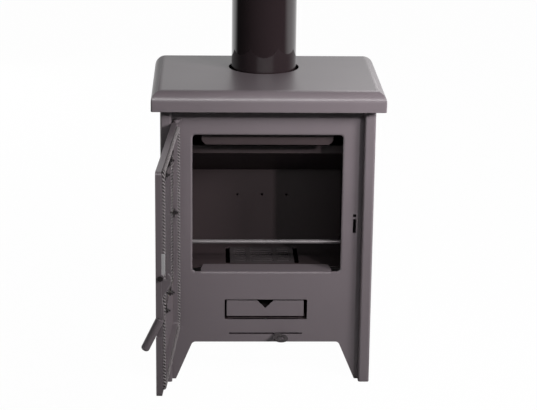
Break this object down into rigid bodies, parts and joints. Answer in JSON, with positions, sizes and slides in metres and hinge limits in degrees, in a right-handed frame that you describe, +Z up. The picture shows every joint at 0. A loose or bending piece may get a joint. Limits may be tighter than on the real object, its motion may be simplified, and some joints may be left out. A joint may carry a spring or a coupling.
{
  "type": "wood stove",
  "caption": "Compact square wood stove of folded steel plate with a hood, a round flue, an open glazed door, an ash drawer and an air lever.",
  "frame": {"origin": "on the floor, under the middle of the box round the stove as it stands with its door open", "axes": "+X to the stove's right as seen from the front, +Y to its back, +Z up"},
  "size_m": [0.4618, 0.6476, 0.857],
  "materials": {
    "casing_paint": "satin heat-resistant paint, warm mid grey",
    "firebox_steel": "matt heat-resistant paint",
    "flue_enamel": "gloss black enamel",
    "grate_iron": "as cast, dark",
    "lever_steel": "satin, dulled",
    "black_steel": "blackened, dull",
    "zinc": "zinc plated",
    "glass": "clear",
    "gasket": "flat woven tape",
    "rope": "knitted rope, dark grey"
  },
  "bodies": {
    "stove": {"hood": "casing_paint", "side_panel_left": "casing_paint", "side_panel_right": "casing_paint", "front_panel": "casing_paint", "back_panel": "casing_paint", "back_screws": "zinc", "side_spacers": "firebox_steel", "firebox_side_left": "firebox_steel", "firebox_side_right": "firebox_steel", "firebox_back": "firebox_steel", "firebox_roof": "firebox_steel", "firebox_floor": "firebox_steel", "back_liner": "firebox_steel", "baffle": "firebox_steel", "baffle_rests": "firebox_steel", "deflector": "firebox_steel", "flue_collar": "firebox_steel", "flue_pipe": "flue_enamel", "guard_brackets": "firebox_steel", "grate_ledges": "firebox_steel", "ash_chamber": "firebox_steel", "air_box": "firebox_steel", "drawer_rails": "firebox_steel", "shutter_bolt": "black_steel", "hinge_plates": "casing_paint", "hinge_pins": "black_steel"},
    "door": {"door_skin": "casing_paint", "hinge_knuckles": "casing_paint", "glass_gasket": "gasket", "window_glass": "glass", "glass_clips": "black_steel", "clip_screws": "black_steel", "rope_channel": "casing_paint", "rope_seal": "rope", "latch_bracket": "zinc", "latch_bolt": "black_steel"},
    "door_handle": {"latch_lever": "casing_paint", "latch_grip": "casing_paint"},
    "ash_drawer": {"ash_pan": "firebox_steel", "drawer_front": "casing_paint"},
    "air_lever": {"air_shutter": "lever_steel"},
    "guard_bar": {"log_guard": "lever_steel"},
    "loose_grate": {"grate": "grate_iron"}
  },
  "joints": [
    {"name": "door_hinge", "type": "hinge", "parent": "stove", "child": "door", "pos_m": [-0.17514, 0.03741, 0.3255], "axis": [0, 0, -1], "range_deg": [-93.7, 2.3]},
    {"name": "latch_turn", "type": "hinge", "parent": "door", "child": "door_handle", "pos_m": [-0.19546, -0.31562, 0.341], "axis": [-0.0645, -0.9979, 0], "range_deg": [-50, 0]},
    {"name": "drawer_slide", "type": "slide", "parent": "stove", "child": "ash_drawer", "axis": [0, -1, 0], "range_m": [0, 0.16]},
    {"name": "air_lever_turn", "type": "hinge", "parent": "stove", "child": "air_lever", "pos_m": [0.00486, 0.12341, 0.0974], "axis": [0, 0, 1], "range_deg": [-39, 5]},
    {"name": "guard_lift", "type": "slide", "parent": "stove", "child": "guard_bar", "axis": [0, 0, 1], "range_m": [0, 0.025]},
    {"name": "grate_lift", "type": "slide", "parent": "stove", "child": "loose_grate", "axis": [0, 0, 1], "range_m": [0, 0.06]}
  ]
}
